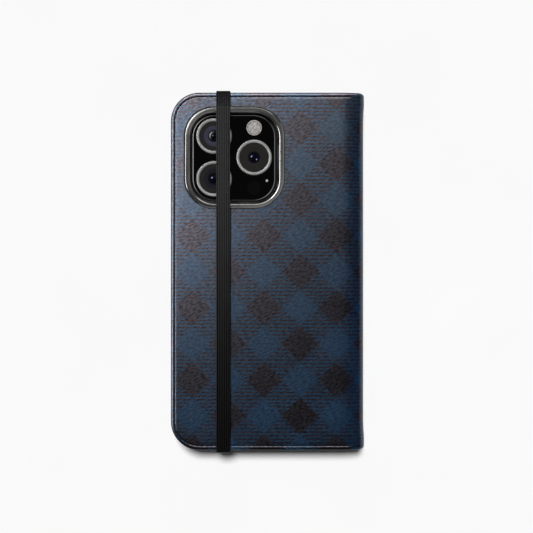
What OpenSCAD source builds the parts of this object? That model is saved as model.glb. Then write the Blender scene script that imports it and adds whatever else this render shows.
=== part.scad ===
// Folding phone wallet case, shut, lying on its front cover with the phone's back upwards.
// X runs across the case from its free edge to its spine, Y runs along it towards the camera
// end, and Z is up. The origin is on the floor under the middle of the case.

/* [Phone] */
// Width of the phone
phone_w = 71; // [64:0.5:80]
// Length of the phone
phone_l = 147; // [138:0.5:165]
// Thickness of the phone without its camera
phone_t = 8; // [7:0.1:10]
// Corner radius of the phone, seen from the front
phone_corner_r = 13; // [8:0.5:15]
// Thickness of the front glass
glass_t = 0.8; // [0.5:0.1:1.5]
// Width of the metal frame round the front glass
frame_w = 1.4; // [0.8:0.1:2.5]
// Gap round the front glass
glass_fit = 0.05; // [0.02:0.01:0.1]

/* [Camera] */
// Width of the raised camera plate
camera_w = 36.2; // [32:0.1:40]
// Length of the raised camera plate
camera_l = 37.6; // [35:0.1:42]
// Corner radius of the camera plate
camera_r = 9.5; // [6:0.5:12]
// Height of the camera plate above the back of the phone
camera_rise = 2.2; // [1.5:0.1:3]
// Distance from the side of the phone to the camera plate
camera_side = 3.95; // [3.5:0.05:7]
// Distance from the end of the phone to the camera plate
camera_end = 4.05; // [3.5:0.05:7]
// Outside diameter of a lens ring
lens_d = 15.9; // [13:0.1:16.5]
// Width of a lens ring
lens_ring_w = 1.4; // [1:0.1:2]
// Height of a lens ring above the camera plate
lens_rise = 1.8; // [1.2:0.1:2.2]
// Distance between the lens centres across the phone
lens_across = 17.8; // [17:0.1:19]
// Distance between the two outer lens centres along the phone
lens_along = 19; // [17:0.1:19.5]
// Thickness of a lens cover
lens_cover_t = 0.5; // [0.3:0.1:0.7]
// Width of the ledge inside a lens ring that carries the lens cover
lens_ledge_w = 0.5; // [0.3:0.1:1]
// Diameter of the flash window
flash_d = 7.1; // [5:0.1:8]
// Diameter of the depth sensor window
sensor_d = 6.4; // [4:0.1:7]
// Distance along the phone from the single lens to the flash and to the sensor
sensor_along = 13.4; // [13:0.1:14]
// Diameter of the microphone mesh
microphone_d = 1.4; // [0.8:0.1:2]
// Distance across the phone from the single lens to the microphone
microphone_across = 5.7; // [5.5:0.1:6.2]
// Distance along the phone from the single lens to the microphone
microphone_along = 10.2; // [9.5:0.1:10.6]
// Depth of the windows let into the camera plate
window_depth = 0.6; // [0.3:0.1:1]
// Gap round the lens covers, the lens barrels and the windows
lens_fit = 0.05; // [0.02:0.01:0.1]

/* [Phone tray] */
// Thickness of the tray's side walls
tray_wall = 1.6; // [1.2:0.1:2.5]
// Thickness of the tray's floor behind the phone
tray_floor_t = 1.1; // [0.8:0.1:2]
// Thickness of the lip over the phone's front edge
lip_t = 0.9; // [0.6:0.1:1.5]
// How far the lip reaches over the phone's front edge
lip_w = 1.1; // [0.6:0.1:2]
// Gap between the phone and the tray
phone_fit = 0.15; // [0.05:0.05:0.3]
// Length of the opening for the charging port and the speakers
port_slot_l = 42; // [30:1:48]
// Height of the openings in the tray's walls
slot_h = 5.4; // [4.6:0.1:6]
// Length of the opening for the power button
power_slot_l = 22; // [16:1:30]
// Distance from the middle of the phone to the middle of the power button's opening
power_slot_y = 22; // [10:1:35]
// Length of the opening for the volume buttons
volume_slot_l = 48; // [36:1:56]
// Distance from the middle of the phone to the middle of the volume buttons' opening
volume_slot_y = 24; // [10:1:28]
// Thickness of the adhesive sheet between the tray and the back cover
adhesive_t = 0.2; // [0.1:0.05:0.5]
// Distance from the adhesive sheet's edge to the tray's edge
adhesive_inset = 3; // [1:0.5:4]

/* [Covers] */
// Thickness of the outer leather
skin_t = 0.9; // [0.7:0.05:1.4]
// Thickness of the stiffening board
board_t = 0.8; // [0.6:0.05:1.5]
// Thickness of the inner lining
lining_t = 0.5; // [0.3:0.05:1]
// Radius of the covers' corners at the free edge
cover_corner_r = 12.5; // [10:0.5:16]
// Reach of the covers past the tray at the free edge
edge_overhang = 4.15; // [3:0.05:7]
// Reach of the covers past the tray at both ends
end_overhang = 4.25; // [3.5:0.05:7]
// Width of the turned-in leather round the board
turn_w = 3; // [2.5:0.1:5]
// Gap round the board inside the turned-in leather
board_fit = 0.1; // [0.05:0.05:0.3]
// Distance from the leather's edge to the lining's edge
lining_inset = 0.6; // [0.3:0.1:1.5]
// Room between the card pockets and the tray when the case is shut
cover_gap = 0.4; // [0.3:0.1:2]

/* [Spine] */
// Room between the tray and the inside of the spine
spine_gap = 4.9; // [3.5:0.05:8]
// Outside radius of the leather folds beside the spine
fold_r = 5.2; // [3:0.1:6]
// Distance from a cover's board to the fold
board_end = 3.6; // [1:0.1:5]
// Distance from the spine's board and lining to the folds
spine_end = 0.6; // [0.3:0.1:1]

/* [Camera bezel] */
// Gap between the sides of the camera plate and the bezel
bezel_side_gap = 1.6; // [1.2:0.1:2]
// Gap between the ends of the camera plate and the bezel
bezel_end_gap = 1.3; // [0.8:0.1:1.6]
// Width of the bezel's visible rim
bezel_w = 2.8; // [2.4:0.1:3.4]
// Reach of the rim over the leather
bezel_lap = 0.9; // [0.6:0.1:1.2]
// Height of the rim above the leather
bezel_rise = 1.2; // [1:0.1:2]
// Width of the slopes at the rim's inner and outer edges
bezel_chamfer = 0.7; // [0.4:0.1:0.9]
// Gap round the bezel where it passes through the back cover
bezel_fit = 0.1; // [0.05:0.05:0.3]

/* [Pockets] */
// Width of a bank card
card_w = 54; // [50:0.5:56]
// Length of a bank card
card_l = 85.6; // [80:0.1:90]
// Room beside a card in its pocket
card_fit = 0.75; // [0.5:0.05:1.5]
// How much of a card shows above its pocket
card_show = 10; // [6:0.5:14]
// Distance between the mouths of neighbouring card pockets
pocket_step = 12; // [8:0.5:14]
// Thickness of a pocket's leather
pocket_t = 0.4; // [0.3:0.05:0.8]
// Height of the space inside a pocket
pocket_gap = 0.3; // [0.2:0.05:0.8]
// Width of a pocket's sewn margin
hem_w = 2.5; // [2:0.1:3]
// Distance from the cover's free edge and ends to the cash pocket
pocket_inset = 4; // [3.5:0.1:5]
// Distance from the fold to the cash pocket's mouth
cash_mouth = 5.7; // [4:0.1:8]
// Distance from the end of the cash pocket to the card pockets
card_end = 6; // [3:0.5:9]

/* [Elastic band] */
// Width of the band
band_w = 6.3; // [5:0.1:8]
// Thickness of the band
band_t = 0.7; // [0.5:0.05:1]
// Distance from the free edge to the middle of the band
band_x_from_edge = 23.2; // [22:0.1:26]
// Gap between the band and what it passes
band_fit = 0.15; // [0.1:0.05:0.4]
// Length of the band's ends that are sewn into the front cover
tab_l = 8; // [5:0.5:15]
// Gap round the sewn ends
tab_fit = 0.05; // [0.02:0.01:0.1]

/* [Stitching] */
// Distance from the leather's edge to the seam
stitch_inset = 1.5; // [1.2:0.1:2]
// Distance from one stitch to the next
stitch_pitch = 2.1; // [2:0.1:4]
// Length of a stitch on the surface
stitch_l = 1.5; // [1:0.1:1.8]
// Width of a stitch
thread_w = 0.45; // [0.3:0.05:0.6]
// Height of a stitch
thread_h = 0.3; // [0.2:0.05:0.4]
// Depth at which a stitch lies below the leather's face
thread_sink = 0.05; // [0.02:0.01:0.15]
// Gap beside a stitch in the seam's groove
thread_fit = 0.15; // [0.1:0.05:0.3]
// Distance from the seam's ends to the fold
seam_end = 0.4; // [0.2:0.1:4]

/* [Hidden] */
$fn = 96;

// Overshoot of a cut past the face that it opens
over = 1;

// Plan sizes
tray_w = phone_w + 2 * (phone_fit + tray_wall);
tray_l = phone_l + 2 * (phone_fit + tray_wall);
cover_t = skin_t + board_t + lining_t;
case_w = edge_overhang + tray_w + spine_gap + cover_t;
case_l = tray_l + 2 * end_overhang;
free_x = -case_w / 2;
spine_x = case_w / 2;
fold_x = spine_x - fold_r;
tray_x = free_x + edge_overhang + tray_w / 2;
tray_corner_r = phone_corner_r + phone_fit + tray_wall;

// Heights, from the floor upwards
pocket_layer = pocket_gap + pocket_t;
card_pockets = 3;
pockets_z = cover_t + (1 + card_pockets) * pocket_layer;
tray_z = pockets_z + cover_gap;
phone_z = tray_z + lip_t;
phone_back_z = phone_z + phone_t;
tray_floor_z = phone_back_z + phone_fit;
tray_back_z = tray_floor_z + tray_floor_t;
back_lining_z = tray_back_z + adhesive_t;
back_board_z = back_lining_z + lining_t;
case_t = back_lining_z + cover_t;
bezel_z = case_t + bezel_rise;

// Camera and bezel
camera_x = tray_x - phone_w / 2 + camera_side + camera_w / 2;
camera_y = phone_l / 2 - camera_end - camera_l / 2;
camera_z = phone_back_z + camera_rise;
opening_w = camera_w + 2 * bezel_side_gap;
opening_l = camera_l + 2 * bezel_end_gap;
opening_r = camera_r + bezel_end_gap;
bezel_wall = bezel_w - bezel_lap;
lens_places = [
    [-lens_across / 2, lens_along / 2],
    [-lens_across / 2, -lens_along / 2],
    [lens_across / 2, 0]
];
lens_bore_d = lens_d - 2 * lens_ring_w;
lens_ledge_d = lens_bore_d - 2 * lens_ledge_w;
lens_ledge_h = lens_rise - lens_cover_t;
flash_place = [lens_across / 2, sensor_along];
sensor_place = [lens_across / 2, -sensor_along];
microphone_place = [lens_across / 2 + microphone_across, -microphone_along];

// Band
band_x = free_x + band_x_from_edge;
tab_z = skin_t + tab_fit;
tab_top_z = skin_t + board_t - tab_fit;

// Pockets
cash_x0 = free_x + pocket_inset;
cash_x1 = fold_x - cash_mouth;
cash_y = case_l / 2 - pocket_inset;
card_pocket_w = card_w + 2 * (card_fit + hem_w);
card_x0 = (cash_x0 + cash_x1 - card_pocket_w) / 2;
card_y0 = -cash_y + card_end;
card_depth = card_l - card_show;

// Seam along the three free sides of a cover, from the fold round to the fold again
groove_w = thread_w + 2 * thread_fit;
groove_d = thread_h + thread_sink;
seam_r = cover_corner_r - stitch_inset;
seam_x0 = free_x + stitch_inset;
seam_x1 = fold_x - seam_end;
seam_y = case_l / 2 - stitch_inset;
seam_bend_x = seam_x0 + seam_r;
seam_bend_y = seam_y - seam_r;
seam_end_run = seam_x1 - seam_bend_x;
seam_arc = PI / 2 * seam_r;
seam_side_run = 2 * seam_bend_y;
seam_side_start = seam_end_run + seam_arc;
seam_side_stop = seam_side_start + seam_side_run;
seam_len = 2 * (seam_end_run + seam_arc) + seam_side_run;
stitch_count = floor(seam_len / stitch_pitch);

leather = [0.13, 0.2, 0.28];
lining = [0.1, 0.1, 0.11];
pocket_leather = [0.14, 0.14, 0.15];
board = [0.5, 0.45, 0.38];
thread = [0.05, 0.05, 0.07];
elastic = [0.08, 0.08, 0.08];
gunmetal = [0.34, 0.34, 0.33];
gloss_black = [0.02, 0.02, 0.02];
silver = [0.62, 0.62, 0.61];

// A point of the seam at a distance along it: X, Y and the seam's direction in degrees
function seam_at(s) =
    s < seam_end_run ? [seam_x1 - s, seam_y, 180]
    : s < seam_side_start ? seam_bend(s - seam_end_run, seam_bend_y, 90)
    : s < seam_side_stop ? [seam_x0, seam_bend_y - (s - seam_side_start), 270]
    : s < seam_side_stop + seam_arc ? seam_bend(s - seam_side_stop, -seam_bend_y, 180)
    : [seam_bend_x + s - seam_side_stop - seam_arc, -seam_y, 0];

// A point of a round corner of the seam at a distance from the corner's start
function seam_bend(s, y, start) =
    let (a = start + s / seam_r * 180 / PI)
    [seam_bend_x + seam_r * cos(a), y + seam_r * sin(a), a + 90];

// Rectangle about the origin with four round corners
module rounded_rect(w, l, r) {
    square([w, l - 2 * r], center = true);
    square([w - 2 * r, l], center = true);
    for (x = [-1, 1], y = [-1, 1])
        translate([x * (w / 2 - r), y * (l / 2 - r)])
            circle(r);
}

// Outline with round corners at the free edge and square ones at the fold
module cover_outline(inset = 0, fold_inset = 0) {
    r = cover_corner_r - inset;
    x0 = free_x + inset;
    x1 = fold_x - fold_inset;
    y = case_l / 2 - inset;
    translate([x0 + r, -y])
        square([x1 - x0 - r, 2 * y]);
    translate([x0, r - y])
        square([x1 - x0, 2 * (y - r)]);
    for (side = [-1, 1])
        translate([x0 + r, side * (y - r)])
            circle(r);
}

// Outline of the phone or of a line at a distance outside it
module phone_outline(grow = 0) {
    translate([tray_x, 0])
        rounded_rect(phone_w + 2 * grow, phone_l + 2 * grow, phone_corner_r + grow);
}

// Outline of the bezel's opening or of a line at a distance outside it
module opening_outline(grow = 0) {
    translate([camera_x, camera_y])
        rounded_rect(opening_w + 2 * grow, opening_l + 2 * grow, opening_r + grow);
}

// Outer leather of a cover with its face at height 0: the board's recess is above it
module cover_skin() {
    difference() {
        linear_extrude(skin_t + board_t)
            cover_outline();
        translate([0, 0, skin_t])
            linear_extrude(board_t + over)
                cover_outline(turn_w, -over);
        translate([0, 0, -over])
            linear_extrude(groove_d + over)
                difference() {
                    cover_outline(stitch_inset - groove_w / 2, seam_end);
                    cover_outline(stitch_inset + groove_w / 2, -over);
                }
    }
}

// Board of a cover, seen in plan
module board_outline() {
    cover_outline(turn_w + board_fit, board_end);
}

// Row of stitches of a cover with its face at height 0
module cover_stitches() {
    step = seam_len / stitch_count;
    for (k = [0 : stitch_count - 1]) {
        p = seam_at((k + 0.5) * step);
        translate([p[0], p[1], thread_sink])
            rotate([0, 0, p[2]])
                translate([-stitch_l / 2, -thread_w / 2, 0])
                    cube([stitch_l, thread_w, thread_h]);
    }
}

// Puts a piece of the front cover on the back cover, face up
module as_back_cover() {
    translate([0, 0, case_t])
        mirror([0, 0, 1])
            children();
}

// Window through the back cover for the bezel's body
module bezel_window() {
    translate([0, 0, tray_back_z - over])
        linear_extrude(case_t - tray_back_z + 2 * over)
            opening_outline(bezel_wall + bezel_fit);
}

// Recess for the band's sewn ends, from a distance inside the cover's ends outwards
module band_end_recess(depth) {
    w = band_w + 2 * band_fit;
    for (side = [0, 1])
        mirror([0, side, 0])
            translate([band_x - w / 2, case_l / 2 - depth, skin_t])
                cube([w, depth + over, board_t + over]);
}

// Quarter ring of leather along the whole spine, about the fold's centre
module fold_strip(z, turn) {
    translate([fold_x, case_l / 2, z])
        rotate([90, 0, 0])
            linear_extrude(case_l)
                rotate(turn)
                    intersection() {
                        difference() {
                            circle(fold_r);
                            circle(fold_r - skin_t);
                        }
                        square(fold_r);
                    }
}

// Pocket of one leather sheet, sewn down on its margins and open at its mouth
module card_pocket(layer) {
    floor_y = card_y0 + hem_w + (card_pockets - layer) * pocket_step;
    mouth_y = floor_y + card_depth;
    z = cover_t + layer * pocket_layer;
    translate([card_x0, card_y0, z])
        difference() {
            cube([card_pocket_w, mouth_y - card_y0, pocket_layer]);
            translate([hem_w, floor_y - card_y0, -over])
                cube([card_w + 2 * card_fit, card_depth + over, pocket_gap + over]);
        }
}

// Opening with round ends through a wall of the tray, along the wall's length
module wall_slot(len, x, y, turn) {
    translate([x, y, phone_z + phone_t / 2])
        rotate([90, 0, turn])
            linear_extrude(2 * (tray_wall + phone_fit + lip_w), center = true) {
                square([len - slot_h, slot_h], center = true);
                for (side = [-1, 1])
                    translate([side * (len - slot_h) / 2, 0])
                        circle(d = slot_h);
            }
}

// Profile of the bezel's wall and rim, outwards from its opening and up from its base
module bezel_profile() {
    top = bezel_z - tray_back_z;
    shelf = case_t - tray_back_z;
    polygon([
        [0, 0],
        [bezel_wall, 0],
        [bezel_wall, shelf],
        [bezel_w, shelf],
        [bezel_w, top - bezel_chamfer],
        [bezel_w - bezel_chamfer, top],
        [bezel_chamfer, top],
        [0, top - bezel_chamfer]
    ]);
}

// One straight side of the bezel, of a length, at a distance from the opening's middle
module bezel_side(len, reach) {
    translate([reach, len / 2, 0])
        rotate([90, 0, 0])
            linear_extrude(len)
                bezel_profile();
}

module front_skin() {
    color(leather)
        difference() {
            cover_skin();
            band_end_recess(turn_w + over);
        }
}

module front_board() {
    color(board)
        difference() {
            translate([0, 0, skin_t])
                linear_extrude(board_t)
                    board_outline();
            band_end_recess(tab_l + band_fit);
        }
}

module front_lining() {
    color(lining)
        translate([0, 0, skin_t + board_t])
            linear_extrude(lining_t)
                cover_outline(lining_inset);
}

module front_stitching() {
    color(thread)
        cover_stitches();
}

module cash_pocket() {
    slot_x0 = cash_x0 + hem_w;
    slot_y = cash_y - hem_w;
    color(pocket_leather)
        translate([0, 0, cover_t])
            difference() {
                linear_extrude(pocket_layer)
                    cover_outline(pocket_inset, cash_mouth);
                translate([slot_x0, -slot_y, -over])
                    cube([cash_x1 + over - slot_x0, 2 * slot_y, pocket_gap + over]);
            }
}

module card_pocket_upper() {
    color(pocket_leather)
        card_pocket(1);
}

module card_pocket_middle() {
    color(pocket_leather)
        card_pocket(2);
}

module card_pocket_lower() {
    color(pocket_leather)
        card_pocket(3);
}

module elastic_band() {
    leg_y = case_l / 2 + band_fit;
    out_y = leg_y + band_t;
    tab_y = case_l / 2 - tab_l;
    edge_z = case_t + band_fit;
    rim_z = bezel_z + band_fit;
    rim_y = opening_l / 2 + bezel_w - bezel_chamfer;
    rim_y0 = camera_y - rim_y;
    rim_y1 = camera_y + rim_y;
    color(elastic)
        translate([band_x - band_w / 2, 0, 0])
            rotate([90, 0, 90])
                linear_extrude(band_w)
                    polygon([
                        [tab_y, tab_z],
                        [out_y, tab_z],
                        [out_y, edge_z + band_t],
                        [rim_y1, rim_z + band_t],
                        [rim_y0, rim_z + band_t],
                        [-out_y, edge_z + band_t],
                        [-out_y, tab_z],
                        [-tab_y, tab_z],
                        [-tab_y, tab_top_z],
                        [-leg_y, tab_top_z],
                        [-leg_y, edge_z],
                        [rim_y0, rim_z],
                        [rim_y1, rim_z],
                        [leg_y, edge_z],
                        [leg_y, tab_top_z],
                        [tab_y, tab_top_z]
                    ]);
}

module front_fold() {
    color(leather)
        fold_strip(fold_r, -90);
}

module spine_skin() {
    color(leather)
        translate([spine_x - skin_t, -case_l / 2, fold_r])
            cube([skin_t, case_l, case_t - 2 * fold_r]);
}

module spine_board() {
    z = fold_r + spine_end;
    y = case_l / 2 - turn_w;
    color(board)
        translate([spine_x - skin_t - board_t, -y, z])
            cube([board_t, 2 * y, case_t - 2 * z]);
}

module spine_lining() {
    z = fold_r + spine_end;
    y = case_l / 2 - lining_inset;
    color(lining)
        translate([spine_x - cover_t, -y, z])
            cube([lining_t, 2 * y, case_t - 2 * z]);
}

module back_fold() {
    color(leather)
        fold_strip(case_t - fold_r, 0);
}

module back_skin() {
    color(leather)
        difference() {
            as_back_cover()
                cover_skin();
            bezel_window();
        }
}

module back_board() {
    color(board)
        difference() {
            translate([0, 0, back_board_z])
                linear_extrude(board_t)
                    board_outline();
            bezel_window();
        }
}

module back_lining() {
    color(lining)
        difference() {
            translate([0, 0, back_lining_z])
                linear_extrude(lining_t)
                    cover_outline(lining_inset);
            bezel_window();
        }
}

module back_stitching() {
    color(thread)
        as_back_cover()
            cover_stitches();
}

module tray_adhesive() {
    color("lightgrey")
        difference() {
            translate([0, 0, tray_back_z])
                linear_extrude(adhesive_t)
                    phone_outline(phone_fit + tray_wall - adhesive_inset);
            bezel_window();
        }
}

module phone_tray() {
    color(gloss_black)
        difference() {
            translate([0, 0, tray_z])
                linear_extrude(tray_back_z - tray_z)
                    phone_outline(phone_fit + tray_wall);
            translate([0, 0, phone_z])
                linear_extrude(tray_floor_z - phone_z)
                    phone_outline(phone_fit);
            translate([0, 0, tray_z - over])
                linear_extrude(lip_t + 2 * over)
                    phone_outline(-lip_w);
            translate([0, 0, tray_floor_z - over])
                linear_extrude(tray_floor_t + 2 * over)
                    opening_outline();
            wall_slot(port_slot_l, tray_x, -tray_l / 2, 0);
            wall_slot(power_slot_l, tray_x - tray_w / 2, power_slot_y, 90);
            wall_slot(volume_slot_l, tray_x + tray_w / 2, volume_slot_y, 90);
        }
}

module camera_bezel() {
    run_w = opening_w - 2 * opening_r;
    run_l = opening_l - 2 * opening_r;
    color(gunmetal)
        translate([camera_x, camera_y, tray_back_z])
            for (half = [0, 180])
                rotate([0, 0, half]) {
                    bezel_side(run_l, opening_w / 2);
                    rotate([0, 0, 90])
                        bezel_side(run_w, opening_l / 2);
                    for (side = [0, 1])
                        mirror([0, side, 0])
                            translate([run_w / 2, run_l / 2, 0])
                                rotate_extrude(angle = 90)
                                    translate([opening_r, 0])
                                        bezel_profile();
                }
}

module phone_housing() {
    color(silver)
        difference() {
            translate([0, 0, phone_z])
                linear_extrude(phone_t)
                    phone_outline();
            translate([0, 0, phone_z - over])
                linear_extrude(glass_t + over)
                    phone_outline(glass_fit - frame_w);
        }
}

module phone_glass() {
    color(gloss_black)
        translate([0, 0, phone_z])
            linear_extrude(glass_t)
                phone_outline(-frame_w);
}

// Round piece let into the camera plate, or the hole that takes it
module camera_window(place, d, depth) {
    translate([camera_x + place[0], camera_y + place[1], camera_z - window_depth])
        cylinder(h = depth, d = d);
}

// Places its children at each lens, on the camera plate
module at_lenses() {
    for (place = lens_places)
        translate([camera_x + place[0], camera_y + place[1], camera_z])
            children();
}

module camera_plate() {
    hole_depth = window_depth + over;
    color(gloss_black)
        difference() {
            translate([camera_x, camera_y, phone_back_z])
                linear_extrude(camera_rise)
                    rounded_rect(camera_w, camera_l, camera_r);
            camera_window(flash_place, flash_d + 2 * lens_fit, hole_depth);
            camera_window(sensor_place, sensor_d + 2 * lens_fit, hole_depth);
            camera_window(microphone_place, microphone_d + 2 * lens_fit, hole_depth);
        }
}

module lens_rings() {
    color(silver)
        at_lenses()
            difference() {
                cylinder(h = lens_rise, d = lens_d);
                translate([0, 0, -over])
                    cylinder(h = lens_rise + 2 * over, d = lens_ledge_d);
                translate([0, 0, lens_ledge_h])
                    cylinder(h = lens_cover_t + over, d = lens_bore_d);
            }
}

module lens_barrels() {
    color(gloss_black)
        at_lenses()
            cylinder(h = lens_ledge_h - lens_fit, d = lens_ledge_d - 2 * lens_fit);
}

module lens_covers() {
    color(gloss_black)
        at_lenses()
            translate([0, 0, lens_ledge_h])
                cylinder(h = lens_cover_t, d = lens_bore_d - 2 * lens_fit);
}

module flash_window() {
    color("lightgrey")
        camera_window(flash_place, flash_d, window_depth);
}

module depth_sensor_window() {
    color(gloss_black)
        camera_window(sensor_place, sensor_d, window_depth);
}

module microphone_mesh() {
    color(silver)
        camera_window(microphone_place, microphone_d, window_depth);
}

front_skin();
front_board();
front_lining();
front_stitching();
cash_pocket();
card_pocket_upper();
card_pocket_middle();
card_pocket_lower();
elastic_band();
front_fold();
spine_skin();
spine_board();
spine_lining();
back_fold();
back_skin();
back_board();
back_lining();
back_stitching();
tray_adhesive();
phone_tray();
camera_bezel();
phone_housing();
phone_glass();
camera_plate();
lens_rings();
lens_barrels();
lens_covers();
flash_window();
depth_sensor_window();
microphone_mesh();
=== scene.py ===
"""The looks of a folio phone wallet case: printed leather, thread, elastic band, camera and lining."""

from math import atan2, cos, dist, pi, radians, sin, tan

import bmesh
import bpy
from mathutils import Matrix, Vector


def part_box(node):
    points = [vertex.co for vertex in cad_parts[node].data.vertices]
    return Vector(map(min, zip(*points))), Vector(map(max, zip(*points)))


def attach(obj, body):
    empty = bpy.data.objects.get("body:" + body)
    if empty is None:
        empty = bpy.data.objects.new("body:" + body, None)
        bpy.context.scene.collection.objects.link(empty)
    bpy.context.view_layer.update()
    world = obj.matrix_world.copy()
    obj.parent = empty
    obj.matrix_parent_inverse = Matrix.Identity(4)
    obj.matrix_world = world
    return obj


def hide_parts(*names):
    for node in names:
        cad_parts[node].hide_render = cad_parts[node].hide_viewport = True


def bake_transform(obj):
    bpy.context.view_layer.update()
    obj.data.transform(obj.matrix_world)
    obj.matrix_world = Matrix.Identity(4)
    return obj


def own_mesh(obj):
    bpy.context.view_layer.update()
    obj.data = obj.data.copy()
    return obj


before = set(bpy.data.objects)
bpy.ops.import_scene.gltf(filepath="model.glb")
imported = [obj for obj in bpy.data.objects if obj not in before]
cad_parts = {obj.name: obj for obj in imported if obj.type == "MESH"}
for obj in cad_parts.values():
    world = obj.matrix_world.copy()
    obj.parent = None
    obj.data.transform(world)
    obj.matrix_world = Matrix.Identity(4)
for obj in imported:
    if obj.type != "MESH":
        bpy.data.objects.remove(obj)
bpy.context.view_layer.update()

MM = 0.001
QUARTER = pi / 2
WELD = 1e-4
CREASE = 35
SOFT_CREASE = 50


# Sizes from the frame. Lengths are in millimetres from here on

def box_mm(node):
    """The lowest and highest corners of a CAD node, in millimetres."""
    low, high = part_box(node)
    return [c / MM for c in low], [c / MM for c in high]


def centre_and_size(node):
    """The middle and the size of a CAD node, in millimetres."""
    low, high = box_mm(node)
    centre = [(a + b) / 2 for a, b in zip(low, high)]
    return centre, [b - a for a, b in zip(low, high)]


skin_low, skin_high = box_mm("back_skin")
spine_low, spine_high = box_mm("spine_skin")
FREE_X, FOLD_X = skin_low[0], skin_high[0]
HALF_L, CASE_T = skin_high[1], skin_high[2]
SPINE_X = spine_high[0]
SKIN_T = SPINE_X - spine_low[0]
FOLD_R = SPINE_X - FOLD_X
BOARD_X = box_mm("back_board")[1][0]
BOARD_T = centre_and_size("back_board")[1][2]
LINING_T = centre_and_size("back_lining")[1][2]
LINING_INSET = box_mm("back_lining")[0][0] - FREE_X
BEZEL_LOW, BEZEL_HIGH = box_mm("camera_bezel")
BAND_LOW, BAND_HIGH = box_mm("elastic_band")
BAND_X = (BAND_LOW[0] + BAND_HIGH[0]) / 2
BAND_W = BAND_HIGH[0] - BAND_LOW[0]

# The covers
CORNER_R = 12.5
TURN_W = 3.0
HEM_ROUND = 0.15
SEAM_INSET = 1.55
SEAM_DEPTH = 0.24
SEAM_END = 0.4
SEAM_FADE = 1.0
END_LIP = 0.16
END_SHORT = 0.15
STITCH_PITCH = 2.1
STITCH_L = 1.6
STITCH_W = 0.45
STITCH_H = 0.34
STITCH_SINK = 0.16
STITCH_SLANT = 6.0
STITCH_TIP = 0.12
STITCH_DIVE = 0.45
STITCH_RINGS = 7
STITCH_SIDES = 8
DIP = 0.45
DIP_L = 4.5
DIP_X = FOLD_X - DIP_L
SPINE_SWELL = 0.2
HEM_FLARE = 0.4
HEM_FLARE_L = 6.0
HEM_FLARE_FADE = 4.0

# The lining's drop into the fold
DROP_START_L = 2.2
DROP_END_L = 1.6
DROP_END = 1.2
DROP_HEM = 0.2
DROP_HEM_L = 2.0

# The sheet of leather laid flat: s runs across the cover and on round the spine
CORNER_X = FREE_X + CORNER_R
END_Y = HALF_L - END_SHORT
SIDE_Y = END_Y - CORNER_R
FOLD_ARC = QUARTER * FOLD_R
FOLD_END = FOLD_X + FOLD_ARC
SHEET_END = FOLD_END + CASE_T / 2 - FOLD_R
ARC_STEPS = 14
SIDE_STEPS = 26

# The print
CHECK_PITCH = 16.0
CHECK_X = 14.355
CHECK_Y = -0.18
PRINT_TURN = 0.9  # in radians
HATCH_PITCH = 1.6
HATCH_DARK = 0.45  # as a share of the pitch
HATCH_BLUR = 0.02
GRAIN_TURN = 27.0
GRAIN_STRETCH = 2.5

# The elastic band
BAND_RIBS = 7
BAND_FIELD = 1.1
BAND_RIB_H = 0.12
BAND_WEFT = 0.55
RIB_SAMPLES = 6
EDGE_SHARE = 0.87
EDGE_DROP = 0.42
BAND_TAB = 8.0
BAND_CLEAR = 0.15
BAND_SLACK = 0.5
BAND_LAP = 0.6
BEND_STEPS = 6
BAND_BENDS = (0.4, 0.8, 2.5, 6.0, 0.8, 0.4)

# The camera bezel
BEZEL_RIM = 2.8
BEZEL_WALL = 1.9
BEZEL_CORNER = 10.8
BEZEL_CREST = 1.5
BEZEL_FIT = 0.1
BEZEL_SEAT = 0.03
BEZEL_SKIRT = 0.55
BEZEL_LEAN = Vector((0.2, -0.36))  # the opening's shift, as in the photo
LEAN_END = 0.9
LEAN_FADE = 0.5

# The camera
PLATE_CORNER = 9.5
PLATE_FLANGE = 0.3
PLATE_SHIFT = -0.15
LENS_D = 15.9
RING_W = 1.5
FACE_SUNK = 0.45
DOME_SUNK = 0.5
DOME_H = 0.42
DOME_T = 0.3
DOME_STEPS = 8
PAINTED_REFLECTION_R = 2.4  # inside this radius, a painted reflection of the barrel, lighter towards the side given next
PAINTED_REFLECTION_SIDE = Vector((-0.9, 0.43))
PAINTED_REFLECTION_REACH = 3
# How much of the plate's pale ground edge shows, at each eighth of a turn from +x: a painted highlight,
# strongest on the sides that face the light
GROUND_EDGE_HIGHLIGHT = (0.37, 0.07, 0.45, 1.0, 1.0, 0.14, 0.1, 0.6)
OUTLINE_STEPS = 16
WINDOW_PROUD = 0.04
WINDOW_FIT = 0.1
FLASH_FACET = 0.8

# The pockets
CARD_ROWS = ("upper", "middle", "lower")
POCKET_CORNER = 8.5
POCKET_SEAM = 1.3
POCKET_MOUTH = 1.0
POCKET_LIFT = 0.02
POCKET_TOP_R = 0.28
POCKET_BOTTOM_R = 0.1
POCKET_STEPS = 8
POCKET_ROUNDS = 4

# The copied CAD parts' bevels: degrees and steps
FLAT_ANGLE = 0.5
BEVEL_ANGLE = 40
BEVEL_STEPS = 3

# The photograph's view
VIEW_X = -0.515
VIEW_Y = 2.18
VIEW_H = 320.0
VIEW_FIELD = 236.7
SENSOR = 36.0
FLOOR_HALF = 3000

# Noise mostly lies between these values
NOISE_LOW = 0.3
NOISE_HIGH = 0.7

# Pieces that have lamps of their own
SKINS = ("front_leather", "back_leather")
STRAP = ("elastic_strap",)
BEZEL = ("bezel_ring",)
FITTINGS = ("lens_trim_rings", "camera_island", "flash_disc", "microphone_disc", "tray_shell",
            "phone_body", "phone_front")
DOMES = ("lens_domes",)

# Distant lamps: name, lean along x and y in degrees, strength, width in degrees, pieces lit
KEY = ("key", (-3, 23), 3.36, 14)
SHEENS = (
    ("sheen", (-15.0, 10.4), 1.08, 18, SKINS),
    ("end_sheen", (0.0, 24.0), 0.52, 16, SKINS),
    ("band_sheen", (-18.6, 17.2), 1.62, 29, STRAP),
)

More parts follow.
